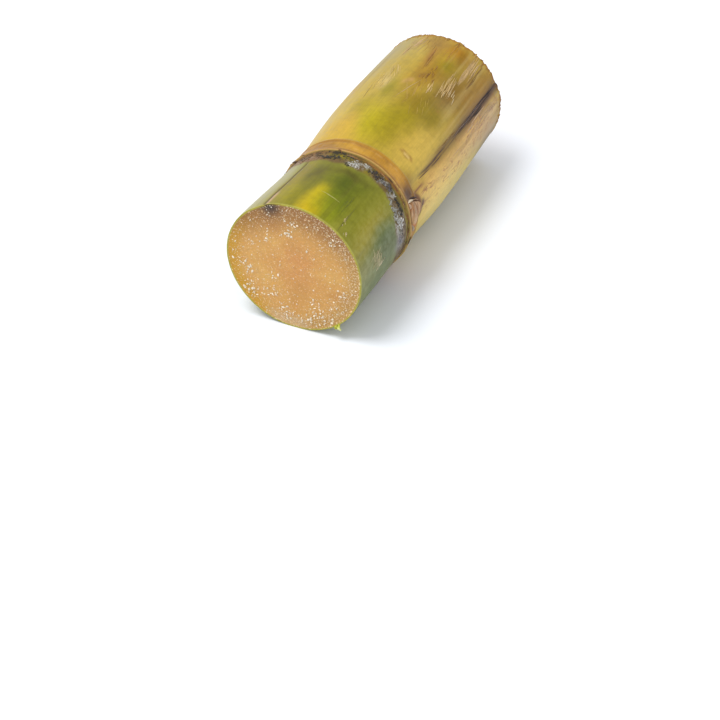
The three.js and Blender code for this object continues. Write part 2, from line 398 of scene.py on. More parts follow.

# the node: brown under the wax, a straw-coloured lip with a painted highlight along its crest, a golden root
# band and a brown ring line
beyond = along - lip_at(angle)
skirt = 5.9 + 3.0 * rise(np.cos(angle + np.radians(15)), 0.45, 0.95) + 1.6 * fractal(p, (3.5, 5, 3.5), 33)
band = rise(beyond, -skirt - 0.7, -skirt + 0.9) * (1 - rise(beyond, -0.4, -0.12))
root_band = past_lip * (1 - rise(along, RING - 0.7, RING + 1.3))
under_lip = 1 - rise(beyond + 0.3 * noise(p, (1.5, 2, 1.5), 44), 0.6, 1.7)
ring_line = bell(along - RING + 0.8 + 0.3 * noise(p, (3, 3, 3), 46), 0.7)
ring_line = ring_line * (0.2 + 0.5 * rise(np.cos(angle - np.radians(110)), 0.5, 0.95))
tint = lay(tint, [
    ("#6a5230", 0.95 * band),
    ("#5c5618", 0.7 * band * rise(fractal(p, (2.4, 2, 2.4), 35), 0.0, 0.35)),
    ("#8c6844", 0.8 * band * patch(31, 124, 12, 8)),
    ("#8a7a30", 0.9 * band * rise(beyond, -2.7, -2.0) * (patch(32.4, 16, 9, 8) + patch(32.4, -4, 9, 6))),
    ("#a0702f", 0.9 * band * rise(beyond, -1.6, -0.9) * patch(33.2, 50, 4, 11)),
    ("#8a7c10", 0.95 * band * (patch(30.2, 63.5, 1.5, 1.4) + patch(32.4, 92, 1.3, 4))),
    ("#85848a", 0.6 * patch(28.0, -2, 3.0, 4.0)),
    ("#a5762f", 0.95 * root_band),
    ("#bd9030", 0.85 * root_band * patch(38.3, 92, 3, 17)),
    ("#c4923c", 0.85 * root_band * patch(38.3, 44, 3, 5)),
    ("#a67622", 0.7 * root_band * patch(38.3, 65, 4, 4.5)),
    ("#8f6424", 0.85 * root_band * under_lip),
    ("#d0a868", 0.25 * root_band * rise(noise(p, (1.6, 1.2, 1.6), 45), 0.45, 0.75)),
    ("#8d6630", 0.7 * root_band * patch(36, 122, 4, 10)),
    ("#8a602c", ring_line * (0.8 + 0.5 * noise(p, (3, 3, 3), 30))),
    # the lip's crest: its pale straw colour and a painted highlight where the ridge catches the light
    ("#c39c60", 0.75 * bell(beyond + 0.02, 0.22)),
])

# round the bud: painted deep shade at its upper side, a dark rim of painted shade on its far side and dark
# spots of painted shade by its tip, and a cleft in the ring
shade = (turn(angle, np.radians(26)) * NODE_RADIUS / 2.7) ** 2 + ((along - 37.9) / 3.0) ** 2
far_rim_shade = rise(along - BUD_AT - 0.12 * turn(angle, BUD_ANGLE) * NODE_RADIUS, 0.6, 2.2)
bud_oval = (turn(angle, BUD_ANGLE) * NODE_RADIUS / 5.2) ** 2 + ((along - BUD_AT) / 4.9) ** 2
cleft = turn(angle, np.radians(20.5) + 0.02 * noise(p, (5, 3, 5), 36)) * NODE_RADIUS
tint = lay(tint, [
    ("#3a2629", 0.95 * np.exp(-shade ** 1.6)),
    ("#8a6430", 0.6 * patch(40.5, 31, 3.5, 3.2) * past_lip),
    # painted shade: a dark rim along the bud's far edge where it sits in its seat, and dark spots by its tip
    ("#6a4438", 0.85 * far_rim_shade * bell(np.maximum(bud_oval - 0.9, 0), 0.3) * past_lip),
    ("#4a2c30", 0.9 * (patch(44.2, 6.5, 1.1, 1.4) + patch(43.2, 1, 1.0, 1.6))),
    ("#6b3f3c", 0.85 * bell(cleft, 0.35) * rise(along, 41, 43) * (1 - rise(along, 46.5, 49))),
])

# dark lines: the growth crack's floor, and the dead streak that runs up the furrow
split = crack_turn(angle, p) * MEAN_RADIUS
streak_line = np.radians(28 - 2.8 * rise(along, 44, 60) - 2.3 * rise(along, 66, 90))
off_streak = turn(angle, streak_line + 0.012 * noise(p, (6, 9, 6), 37)) * MEAN_RADIUS
streak_wide = 0.42 + 0.85 * rise(along, 46, 62) + 0.3 * rise(along, 70, 84)
streak = np.exp(-(np.abs(off_streak) / streak_wide) ** 2.2) * rise(along, 44, 52)

# an oval scar left by a knock, and the rims: clean and pale at the lower cut, browned at the upper
oval = np.hypot((along - SCAR_AT) / SCAR_LONG, turn(angle, SCAR_ANGLE) * MEAN_RADIUS / SCAR_WIDE)
browned_rim = rise(along + 0.8 * noise(p, (1.5, 3, 1.5), 39), LENGTH - 1.8, LENGTH - 0.2)
tint = lay(tint, [
    ("#4a3220", 0.95 * bell(split, 0.5) * (1 - rise(along, 25, 29))),
    ("#bd9a78", 0.9 * bell(split + 0.95, 0.5) * (1 - rise(along, 6, 9))),
    ("#7a5628", 0.5 * bell(off_streak - 0.645, 2.2) * rise(along, 50, 64)),
    ("#9c7638", 0.8 * bell(oval - 1, 0.35)),
    ("#d0b26c", 0.8 * (1 - rise(oval, 0.5, 0.8))),
    ("#a8a34c", 0.9 * (1 - rise(along, 0.1, 0.6))),
    ("#94631f", 0.8 * browned_rim),
])


def stained(share):
    """Where juice from the growth crack has dried dark on the lower cut: 1 in the stain, 0 outside."""
    across = share * CUT_RADIUS
    away = np.hypot(turn(angle, np.radians(111)) * across / 3.4, (across - 22) / 3.5)
    return np.exp(-away ** 2.4)


def flesh_tint(share, end):
    """Colour of the cut flesh: orange in the middle, tan outside, browned by air, yellow rind."""
    across = share * CUT_RADIUS
    x, z = across * np.cos(angle), across * np.sin(angle)
    place = np.stack([x, 30 + 50 * end + 0 * x, z], -1)
    cloud = fractal(place, 7.0, 41)
    stain = (1 - end) * stained(share)
    underside = rise(-z, 15, 19) * (1 - rise(np.abs(x + 2), 4, 9))
    return lay(srgb("#c79448") + 0 * place, [
        ("#c48544", 0.8 * bell(np.hypot(x - 1, z - 0.5), 7.5)),
        ("#d2a454", 0.6 * rise(cloud, 0, 0.6)),
        ("#b8823c", 0.6 * rise(-cloud, 0.1, 0.6)),
        ("#bd8b0c", rise(across, 16.5, 20.5) * rise(-x, 2, 14)),
        ("#a57c34", 0.7 * rise(across, 15, 21) * rise(x, -6, 10)),
        ("#8a5b24", 0.85 * rise(across, 9, 20.5) * rise(z, 2, 17)),
        ("#bda884", 0.5 * rise(across, 17.0, 20.5) * underside),
        ("#28120b", 0.98 * stain),
        ("#8d6a3a", 0.3 * end),
        ("#a39a36", rise(share, 0.968, 0.985) * (1 - 0.95 * stain)),
    ])


tints = np.concatenate([flesh_tint(lower_share, 0), tint, flesh_tint(upper_share, 1)])
tints = np.concatenate([tints.reshape(-1, 3), [srgb("#bb8245")] * 2])


def on_skin(value, on_cuts=0.0):
    """A strength given on the rind's points, and one that grows towards the rim on the cut ends: most
    on the bud's side, where the saw came out, and none in the stain."""
    lower_woody = rise(lower_share, 0.6, 0.93) * (0.62 + 0.38 * np.cos(angle)) * (1 - stained(lower_share))
    upper_woody = 0.7 * rise(upper_share, 0.6, 0.93)
    whole = np.concatenate([on_cuts * lower_woody, value + 0 * along, on_cuts * upper_woody]).ravel()
    return np.append(whole, [0, 0])


# how much of each mark lies at each point. A patch is length, angle, half-length, half-width, thickness
sooty_sides = patches(
    (30.3, 96, 9, 7, 1), (31, 124, 9, 5, 0.3), (31.3, 56, 2.2, 3.4, 1), (32.6, 83, 2, 3, 0.8),
    (30.8, 42, 2.2, 2.8, 0.9), (30.5, 25, 1.5, 5.5, 1), (28.4, 72, 0.9, 5, 0.8), (29, -20, 9, 6, 0.6),
    (30, 215, 9, 24, 0.7), base=0.2)
waxy_sides = patches(
    (29.8, 76.5, 2.6, 2.5, 1), (31.6, 79.5, 1.2, 1.4, 1), (32.3, 68, 1.0, 2.2, 1),
    (31.0, 51, 1.6, 2.4, 0.6), (31.2, 36, 1.3, 1.4, 0.7), (27.9, 32, 2.2, 2.8, 1), (27.4, 22, 2.5, 4.0, 1),
    (28.4, 13, 3.6, 2.2, 1), (27.6, -1, 5, 4, 0.5), (30, 170, 9, 16, 0.5), (29, 285, 9, 14, 0.4))
waxy_band = rise(beyond, -skirt - 0.5, -skirt + 1) * (1 - rise(beyond, -1.3, -0.5))
marks = {
    "soot": band * sooty_sides * (0.45 + 0.55 * rise(beyond, -5.5, -3.5)),
    "wax": waxy_band * waxy_sides,
    "streak": streak,
    "bloom": (1 - past_lip) * (1 - band) * patches((15, 2, 30, 10, 1), (15, 300, 40, 30, 1)),
    "dry": past_lip * patches((95, 60, 26, 20, 1), (75, 10, 45, 8, 1), base=0.25),
    "woody": 0.0,                         # on the cut ends only
    "veined": past_lip * patches((80, 8, 38, 5.5, 1), (46, 10, 6, 4, 1)),
}


# --- materials ---
SMOOTH = {"interpolation_type": "SMOOTHSTEP"}


def shaded(tree, colour, grain, dark, light, start=0.3, end=0.7):
    """The colour made darker where a noise is at start or less, and lighter where it is past end."""
    shade = add(tree, "MapRange", {0: grain, 1: start, 2: end, 3: dark, 4: light}).outputs[0]
    inputs = {0: 1.0, 6: colour, 7: shade}
    return add(tree, "Mix", inputs, data_type="RGBA", blend_type="MULTIPLY").outputs[2]


def dabbed(tree, colour, code, grain, start, end, least, most, where=1.0):
    """The colour with another laid over it, from least to most thickly as a noise goes from start to
    end, times the strength of the mark there. Gives that thickness too."""
    thickness = add(tree, "MapRange", {0: grain, 1: start, 2: end, 3: least, 4: most}, **SMOOTH).outputs[0]
    thickness = add(tree, "Math", {0: thickness, 1: where}, operation="MULTIPLY").outputs[0]
    inputs = {0: thickness, 6: colour, 7: (*srgb(code), 1)}
    return add(tree, "Mix", inputs, data_type="RGBA").outputs[2], thickness


# Fresh cane rind, a hard waxy skin over tight long fibres: satin, streaked finely lengthwise.
rind_material, tree, shader, place, colour = new_material("waxy_cane_rind")
mark = {name: add(tree, "Attribute", attribute_name=name).outputs["Fac"] for name in marks}

# grain across and along the cane in mm, detail, roughness, distortion
RIND_GRAINS = {
    "fibre": (0.45, 16, 3.0, 0.6, 0.0),   # fibre bundles under the skin
    "mottle": (2.2, 2.2, 5.0, 0.62, 0.0),
    "lines": (0.9, 30, 4.0, 0.65, 0.0),   # drawn-out threads of the dead streak
    "soot": (2.2, 2.2, 6.0, 0.72, 0.0),
    "flakes": (1.3, 1.3, 5.0, 0.68, 0.6),
    "veins": (2.8, 10, 5.0, 0.6, 0.5),
}
grain = {}
for name, (across, lengthwise, detail, harshness, distortion) in RIND_GRAINS.items():
    scale = (1 / (across * MM), 1 / (lengthwise * MM), 1 / (across * MM))
    scaled = add(tree, "Mapping", {"Vector": place, "Scale": scale}).outputs[0]
    grain[name] = add(tree, "TexNoise", {"Vector": scaled, "Scale": 1.0, "Detail": detail,
                                         "Roughness": harshness, "Distortion": distortion}).outputs["Fac"]
vein_line = add(tree, "Math", {0: grain["veins"], 1: 0.5}, operation="SUBTRACT").outputs[0]
vein_line = add(tree, "Math", {0: vein_line}, operation="ABSOLUTE").outputs[0]
broken = add(tree, "MapRange", {0: grain["mottle"], 1: 0.42, 2: 0.58}, **SMOOTH).outputs[0]
broken = add(tree, "Math", {0: broken, 1: mark["veined"]}, operation="MULTIPLY").outputs[0]

colour = shaded(tree, colour, grain["fibre"], 0.9, 1.09, 0.25, 0.75)
colour = shaded(tree, colour, grain["mottle"], 0.87, 1.12)
colour, _ = dabbed(tree, colour, "#8a6230", grain["mottle"], 0.56, 0.72, 0.0, 0.45, mark["dry"])
colour, _ = dabbed(tree, colour, "#4f3a30", grain["lines"], 0.28, 0.52, 0.3, 0.92, mark["streak"])
colour, sooty = dabbed(tree, colour, "#35322c", grain["soot"], 0.44, 0.56, 0.05, 0.95, mark["soot"])
colour, waxed = dabbed(tree, colour, "#b2b0a9", grain["flakes"], 0.47, 0.58, 0.0, 0.9, mark["wax"])
colour, _ = dabbed(tree, colour, "#a9b09a", grain["mottle"], 0.35, 0.7, 0.02, 0.22, mark["bloom"])
colour, _ = dabbed(tree, colour, "#935f4c", vein_line, 0.008, 0.05, 0.65, 0.0, broken)
tree.links.new(colour, shader.inputs["Base Color"])
rubbed = add(tree, "MapRange", {0: grain["mottle"], 1: 0.3, 2: 0.7, 3: 0.34, 4: 0.52}).outputs[0]
chalky = add(tree, "Math", {0: sooty, 1: waxed}, operation="MAXIMUM").outputs[0]
rough = add(tree, "Mix", {0: chalky, 2: rubbed, 3: 0.85}).outputs[0]
tree.links.new(rough, shader.inputs["Roughness"])
shader.inputs["Specular IOR Level"].default_value = 0.16
relief = add(tree, "Bump", {"Height": grain["fibre"], "Strength": 0.35, "Distance": 0.12 * MM}).outputs[0]
relief = add(tree, "Bump", {"Height": grain["soot"], "Strength": chalky, "Distance": 0.3 * MM,
                            "Normal": relief}).outputs[0]
tree.links.new(relief, shader.inputs["Normal"])

# Cut cane flesh, wet with juice: pithy, with the pale ends of fibre bundles set in it.
flesh_material, tree, shader, place, colour = new_material("juicy_cane_flesh")
pith = add(tree, "TexNoise", {"Vector": place, "Scale": 1 / (0.7 * MM), "Detail": 5.0,
                              "Roughness": 0.65}).outputs["Fac"]
speck = add(tree, "TexNoise", {"Vector": place, "Scale": 1 / (0.5 * MM), "Detail": 2.0,
                               "Roughness": 0.5}).outputs["Fac"]
bundle = add(tree, "TexVoronoi", {"Vector": place, "Scale": 1 / (1.25 * MM)}).outputs["Distance"]
woody = add(tree, "Attribute", attribute_name="woody").outputs["Fac"]
crowd = add(tree, "MapRange", {0: woody, 1: 0.0, 2: 1.0, 3: -0.03, 4: 0.06}).outputs[0]
speck = add(tree, "Math", {0: speck, 1: crowd}, operation="ADD").outputs[0]
colour = shaded(tree, colour, pith, 0.88, 1.12)
colour, _ = dabbed(tree, colour, "#e6c48e", bundle, 0.12, 0.26, 0.5, 0.0)
colour, torn = dabbed(tree, colour, "#efdcb6", speck, 0.58, 0.68, 0.0, 0.65)
tree.links.new(colour, shader.inputs["Base Color"])
wet = add(tree, "MapRange", {0: pith, 1: 0.3, 2: 0.7, 3: 0.32, 4: 0.6}).outputs[0]
tree.links.new(wet, shader.inputs["Roughness"])
shader.inputs["Subsurface Weight"].default_value = 0.2
shader.inputs["Subsurface Radius"].default_value = (1.0, 0.5, 0.2)
shader.inputs["Subsurface Scale"].default_value = 1.5 * MM
relief = add(tree, "Bump", {"Height": pith, "Strength": 0.6, "Distance": 0.25 * MM}).outputs[0]
relief = add(tree, "Bump", {"Height": torn, "Strength": 0.5, "Distance": 0.2 * MM,
                            "Normal": relief}).outputs[0]
tree.links.new(relief, shader.inputs["Normal"])

cane = new_piece("cane", np.concatenate([points.reshape(-1, 3), *middles]), closed_skin(len(points), AROUND),
                 tints, "rind", rind_material, flesh_material)
first_rind, last_rind = len(lower_face), len(lower_face) + len(rind) - 1
face_ring = np.repeat(np.arange(len(points) - 1), AROUND)
is_flesh = (face_ring < first_rind - RIND_RINGS) | (face_ring >= last_rind + RIND_RINGS)
cane.data.polygons.foreach_set("material_index", np.append(is_flesh, np.ones(2 * AROUND)).astype(np.int32))
for name, value in marks.items():
    layer = cane.data.attributes.new(name, "FLOAT", "POINT")
    layer.data.foreach_set("value", on_skin(value, name == "woody").astype(np.float32))
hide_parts("stalk")

# The map that the looks are baked on: the rind unrolled into a rectangle, with both cuts beside it.
MAP_SIDE, MAP_GAP = 160.0, 2.0            # mm
LOWER_CUT, RIND, UPPER_CUT = range(3)
shares = {LOWER_CUT: np.append(lower_share[:, 0], 1), UPPER_CUT: np.append(1, upper_share[:, 0])}
first_ring = {LOWER_CUT: 0, RIND: first_rind, UPPER_CUT: last_rind}
last_ring = {LOWER_CUT: first_rind, RIND: last_rind, UPPER_CUT: len(points) - 1}
disc_top = 1 - (CUT_RADIUS + 1) / MAP_SIDE
disc_middle = {LOWER_CUT: (0.16, disc_top), UPPER_CUT: (0.48, disc_top)}


def flat_place(kind, ring, column):
    """Where a corner lies on the map: a disc of polar places for a corner of either cut; on the rind,
    columns run sideways and lengths run up."""
    turned = column / AROUND * 2 * np.pi
    if kind == RIND:
        return np.stack([MAP_GAP + turned * CUT_RADIUS, MAP_GAP + rows[ring - first_rind]], -1) / MAP_SIDE
    out = shares[kind][ring - first_ring[kind]] * CUT_RADIUS
    return np.stack([out * np.cos(turned), out * np.sin(turned)], -1) / MAP_SIDE + disc_middle[kind]


columns = np.arange(AROUND)
corners = []
for kind in (LOWER_CUT, RIND, UPPER_CUT):
    ring, column = np.meshgrid(np.arange(first_ring[kind], last_ring[kind]), columns, indexing="ij")
    four = [flat_place(kind, ring + up, column + side) for up, side in ((0, 0), (1, 0), (1, 1), (0, 1))]
    corners.append(np.stack(four, 2).reshape(-1, 2))
for kind, ring, order in ((LOWER_CUT, 0, (0, 1)), (UPPER_CUT, len(points) - 1, (1, 0))):
    two = [flat_place(kind, ring + 0 * columns, columns + side) for side in order]
    corners.append(np.stack([disc_middle[kind] + np.zeros((AROUND, 2)), *two], 1).reshape(-1, 2))
flat_map = cane.data.uv_layers.new(name="OFBake")
flat_map.data.foreach_set("uv", np.concatenate(corners).astype(np.float32).ravel())


# ---------------------------------------------------------------------------------------------
# The side bud: a flat oval bud asleep in the root band, its blunt base behind the lip, wrapped in
# dry papery scales that overlap and have shrunk back from the rind. A torn scale edge curls up.

BUD_LONG, BUD_BASE, BUD_WIDE, BUD_PROUD = 4.4, 3.6, 4.7, 1.9
BUD_SUNK = 0.55                           # how deep its rim sits in its seat
OUTER_RINGS = 26                          # the rest turn down into the rind
bud_share = np.concatenate([np.linspace(0.04, 1, OUTER_RINGS), [1.03, 1.0, 0.8, 0.5]])[:, None]
bud_turn = np.linspace(0, 2 * np.pi, 96, endpoint=False)[None]


def bud_skin(share, t):
    """A low dome over an oval, pointed up the cane, as lengths along and round the cane and a lift off
    it. Its scales are steps along two slanting edges, with fine veins beside them; past its rim it
    turns down into the rind. Gives the scales' edges and veins too, and where they are read."""
    ahead = np.cos(t)
    u = share * ahead * np.where(ahead > 0, BUD_LONG, BUD_BASE)
    w = share * np.sin(t) * BUD_WIDE * (1 - 0.38 * np.maximum(ahead, 0) ** 2)
    w = w * (1 - 0.34 * rise(u, -3.2, 1.5) * (w > 0))                # flat along its upper side
    u = (u + BUD_BASE) * (0.38 + 0.62 * rise(w, -5.0, 2.0)) - BUD_BASE
    dome = BUD_PROUD * np.sqrt(np.maximum(1 - share ** 2.4, 0))
    along_vein, across_vein = (w + 0.35 * u) / 1.06, (u - 0.35 * w) / 1.06
    vein_place = np.stack([across_vein, along_vein, 0 * u + 90], -1)
    first = across_vein + 1.5 + 0.3 * noise(vein_place, 2.0, 51)
    second = across_vein - 0.7 + 0.3 * noise(vein_place, 1.6, 52)
    scales = 0.34 * rise(first, -0.12, 0.12) + 0.28 * rise(second, -0.12, 0.12)
    veins = 0.05 * np.sin(across_vein * 9 + 2 * noise(vein_place, 2.4, 53))
    veins = veins + 0.12 * noise(vein_place, (0.5, 1.8, 1), 54)
    lift = dome - BUD_SUNK + (scales + veins - 0.25) * rise(1 - share, 0.0, 0.2)
    inside = np.arange(len(share))[:, None] >= OUTER_RINGS
    lift = np.where(inside, -0.3 - 0.5 * (1.03 - share), lift) + 0 * t
    return u, w, lift, bell(first, 0.22) + bell(second, 0.22), veins, vein_place


u, w, lift, scale_edge, veins, vein_place = bud_skin(bud_share, bud_turn)
bud_points = skin(BUD_AT + u, BUD_ANGLE + w / NODE_RADIUS, lift + BUD_SUNK)
bud_ends = [skin(np.array([BUD_AT]), np.array([BUD_ANGLE]), height) for height in (BUD_PROUD + 0.3, -1.0)]
bud_tint = lay(srgb("#b28b5e") + 0 * vein_place, [
    ("#865a3c", 0.7 * rise(noise(vein_place, (0.6, 3.5, 1), 55), 0.05, 0.5)),
    ("#caa884", 0.75 * rise(-noise(vein_place, (0.5, 3.0, 1), 56), 0.1, 0.5)),
    ("#a86c38", 0.7 * rise(w, 0.4, 2.6) * (1 - rise(u, -2.4, -0.4))),
    ("#5e3a2c", 0.35 * rise(-veins, 0.03, 0.14)),
    ("#cbb094", 0.45 * scale_edge),
    # painted shade: a dark rim on the bud's edge at its far end, where it sits down into its seat
    ("#5c3c32", 0.75 * rise(bud_share + 0 * u, 0.86, 0.98) * rise(u, -0.6, 0.8)),
    ("#b4642c", 0.7 * rise(-w, 2.4, 3.6) * (1 - rise(-w, 3.9, 4.4))),
])


def dry_material(name, size, detail, harshness, shades, roughness, strength, depth):
    """A material for dry plant matter: its points' colour, shaded by a noise with grain of the given
    size in mm along X, Y and Z. The same noise sets the roughness and the relief."""
    material, tree, shader, place, colour = new_material(name)
    scale = [1 / (side * MM) for side in size]
    scaled = add(tree, "Mapping", {"Vector": place, "Scale": scale}).outputs[0]
    grain = add(tree, "TexNoise", {"Vector": scaled, "Scale": 1.0, "Detail": detail,
                                   "Roughness": harshness}).outputs["Fac"]
    tree.links.new(shaded(tree, colour, grain, *shades), shader.inputs["Base Color"])
    rough = add(tree, "MapRange", {0: grain, 1: 0.3, 2: 0.7, 3: roughness[0], 4: roughness[1]}).outputs[0]
    tree.links.new(rough, shader.inputs["Roughness"])
    relief = {"Height": grain, "Strength": strength, "Distance": depth * MM}
    tree.links.new(add(tree, "Bump", relief).outputs[0], shader.inputs["Normal"])
    return material


# Bud scales, dry and papery: matt, finely ribbed lengthwise.
scale_material = dry_material("papery_bud_scale", (0.3, 2.5, 0.3), 4.0, 0.6,
                              shades=(0.8, 1.2), roughness=(0.5, 0.75), strength=0.5, depth=0.15)
side_bud = new_piece("side_bud", np.concatenate([bud_points.reshape(-1, 3), *bud_ends]),
                     closed_skin(*bud_points.shape[:2]),
                     np.concatenate([bud_tint.reshape(-1, 3), [srgb("#a87f58")] * 2]),
                     "bud_scales", scale_material)
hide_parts("bud")


# ---------------------------------------------------------------------------------------------
# Torn fibres: where the rind was knocked and scraped, single fibres and shreds of the outer skin
# stand off it, bleached by drying. The bud's torn scale edge is the thickest of them.

SLIVER_RINGS = 7


def slivers(start, end, width, height, bow, curl):
    """Closed slivers that lie along the rind. Each follows a line from start to end, given as length
    and angle, bowed sideways as half a sine wave; its width and height swell from nothing and fade as
    half a sine wave too, its section is a kite, and its last end lifts off the skin by curl."""
    path = np.stack([start, end], 1) * [1, MEAN_RADIUS]
    step = path[:, 1] - path[:, 0]
    side = np.stack([-step[:, 1], step[:, 0]], -1) / np.linalg.norm(step, axis=1, keepdims=True)
    t = np.linspace(0.05, 0.95, SLIVER_RINGS)
    half_wave = np.sin(np.pi * t)
    swell = half_wave[:, None] ** 0.7
    bowed = bow[:, None, None] * half_wave[:, None] * side[:, None]
    middle = path[:, None, 0] + t[:, None] * step[:, None] + bowed
    across = np.array([1, 0, -1, 0]) * width[:, None, None] * swell
    lift = np.array([0.0, -0.1, 0.0, 1.0]) * height[:, None, None] * swell
    lift = lift + curl[:, None, None] * (t ** 3)[:, None] + [0.0, -0.06, 0.0, 0.03]
    place = middle[:, :, None] + across[..., None] * side[:, None, None]
    body = skin(place[..., 0], place[..., 1] / MEAN_RADIUS, lift).reshape(len(path), -1, 3)
    tips = skin(path[..., 0], path[..., 1] / MEAN_RADIUS, np.stack([0 * curl, 1.1 * curl], 1))
    return np.concatenate([body, tips], 1)


def repeated_piece(name, vertices, rings, around, tones, slot, material):
    """A piece made of many small closed skins with the same faces, each skin in its own colour."""
    many, size = vertices.shape[:2]
    first_point = np.arange(many)[:, None, None] * size
    faces = [(kind + first_point).reshape(-1, kind.shape[1]) for kind in closed_skin(rings, around)]
    new_piece(name, vertices, faces, np.repeat(tones, size, 0), slot, material)


# Dried fibres: straw-like, matt, a little darker along some of their length.
fibre_material = dry_material("dried_cane_fibre", (0.6, 0.6, 0.6), 4.0, 0.65,
                              shades=(0.75, 1.2), roughness=(0.5, 0.8), strength=0.5, depth=0.1)

# length and angle of the middle, length and angle of the run, spread, how many, width, colour
SCRAPES = [
    (99, 51.5, 13, 2.5, 7, 3.0, 34, 0.11, "#c2a36e"),  # bleached fibres towards the upper cut
    (101, 47, 9, 1.5, 4, 1.6, 8, 0.12, "#c4a674"),
    (86, 55, 10, 2.5, 5, 3.0, 12, 0.12, "#bd9f6a"),
    (90, 59, 10, 1.5, 3, 1.4, 3, 0.11, "#b99c64"),
    (82, 50, 4, 1.0, 4, 4, 7, 0.15, "#b7a27a"),
    (97, 44, 9, 0.6, 8, 4, 10, 0.12, "#8a662a"),
    (74.5, 82, 15, -10, 0.5, 0.6, 2, 0.15, "#cdb078"),  # crossing scratches on the olive patch
    (73, 81.5, 10, 12, 0.5, 0.8, 2, 0.08, "#b4964c"),
    (71, 79, 8, -5, 5, 6, 3, 0.08, "#b0924a"),
    (75, 73, 6, 3, 5, 5, 4, 0.09, "#b4924a"),
    (68, 66, 6, 5, 6, 6, 7, 0.08, "#a88c38"),
    (78, 67.5, 4.0, 1.2, 1.6, 1.6, 3, 0.2, "#c8aa70"),
    (86, 75, 3.5, 0.8, 6, 7, 9, 0.17, "#8e6412"),
    (81, 69, 4.5, 2.4, 3.0, 3.4, 3, 0.15, "#c4a668"),
    (81, 60, 4.5, 1.2, 4.0, 5.4, 6, 0.15, "#c4a66e"),
    (85, 62, 8, 1.8, 5.0, 4.4, 5, 0.13, "#bfa264"),
    (80, 76, 5, 3, 5, 5, 5, 0.13, "#94702a"),
    (96, 85, 9, 1.5, 8, 3, 6, 0.14, "#94682c"),
    (99, 72, 8, 1, 6, 6, 10, 0.12, "#a87c2c"),
    (76, 108, 9, 1.5, 5, 5, 22, 0.14, "#c4aa5e"),
    (83, 103, 8, 8, 3, 4, 9, 0.12, "#c6ac6c"),
    (101, 106, 8, -3, 6, 9, 20, 0.13, "#b89a74"),
    (102, 94, 7, 1, 5, 8, 9, 0.1, "#ac8a40"),
    (88, 13, 12, 0.8, 16, 6, 22, 0.11, "#c4a684"),
    (99, 13, 9, 0.8, 8, 7, 10, 0.13, "#a08a74"),
    (90, 23.4, 14, -0.8, 12, 2.2, 9, 0.17, "#33231f"),  # cracks and bleached edges of the dead streak
    (98, 24.6, 12, -0.4, 9, 1.0, 5, 0.14, "#3a2823"),
    (92, 24.2, 12, -0.5, 14, 0.8, 7, 0.08, "#8f8078"),
    (62, 25.2, 10, -0.8, 9, 2.0, 5, 0.13, "#5a4034"),
    (68, 28.6, 12, -0.8, 12, 2.0, 7, 0.1, "#8c6a34"),
    (46.5, 14.5, 6, 2.5, 0.6, 1.8, 4, 0.1, "#a5745a"),
    (11.3, 73, 0.5, 18, 0.1, 0.3, 2, 0.11, "#b3ae5e"),  # nicks on the green end
    (7, 51, 15, 1.0, 0.3, 0.3, 2, 0.06, "#4c4a14"),
    (12, 60, 9, 0.6, 5, 5, 5, 0.05, "#565a10"),
    (6, 51, 1.5, 2.0, 2.4, 2.4, 9, 0.16, "#a89a62"),
    (2, 44, 1, 2, 1.2, 2, 7, 0.18, "#b5a673"),
    (12, 6, 1.0, 11, 3.0, 5, 20, 0.12, "#b8ad88"),
    (11, 8, 4, 4, 3.0, 6, 16, 0.1, "#a9a07a"),
    (14, 0, 3, 3, 3.0, 3, 10, 0.14, "#c2b898"),
    (70, 195, 10, 1.0, 16, 16, 16, 0.11, "#c4a768"),  # rubs on the side away from the bud
    (88, 232, 9, -2.0, 12, 12, 16, 0.12, "#a98a4e"),
    (60, 262, 6, 3.0, 14, 14, 12, 0.1, "#c0aa64"),
    (98, 160, 8, 1.0, 6, 9, 12, 0.12, "#b08a50"),
    (14, 215, 5, 2.0, 9, 16, 12, 0.1, "#a9a25c"),
    (16, 280, 4, 5.0, 8, 10, 8, 0.11, "#b0a878"),
]
chance = np.random.default_rng(71)
starts, ends, widths, tones = [], [], [], []
for at, degrees, run, run_degrees, spread, spread_degrees, many, width, code in SCRAPES:
    middle = np.array([at, degrees]) + chance.normal(0, 0.5, (many, 2)) * [spread, spread_degrees]
    half = 0.5 * np.array([run, run_degrees]) * chance.uniform(0.4, 1.1, (many, 1))
    half = half + chance.normal(0, 0.12, (many, 2))
    starts.append(middle - half)
    ends.append(middle + half)
    widths.append(width * chance.uniform(0.5, 1.3, many))
    tones.append(srgb(code) * chance.uniform(0.75, 1.2, (many, 1)))
starts, ends = (np.concatenate(part) * [1, np.pi / 180] for part in (starts, ends))
starts[:, 0], ends[:, 0] = np.clip(starts[:, 0], 0.3, LENGTH - 0.4), np.clip(ends[:, 0], 0.3, LENGTH - 0.4)
widths = np.concatenate(widths)
bows = chance.normal(0, 0.018, len(widths)) * np.linalg.norm((ends - starts) * [1, MEAN_RADIUS], axis=1)
curls = np.maximum(chance.normal(-0.15, 0.2, len(widths)), 0)
repeated_piece("scuffed_fibres", slivers(starts, ends, widths, 0.5 * widths, bows, curls),
               SLIVER_RINGS, 4, np.concatenate(tones), "rind", fibre_material)
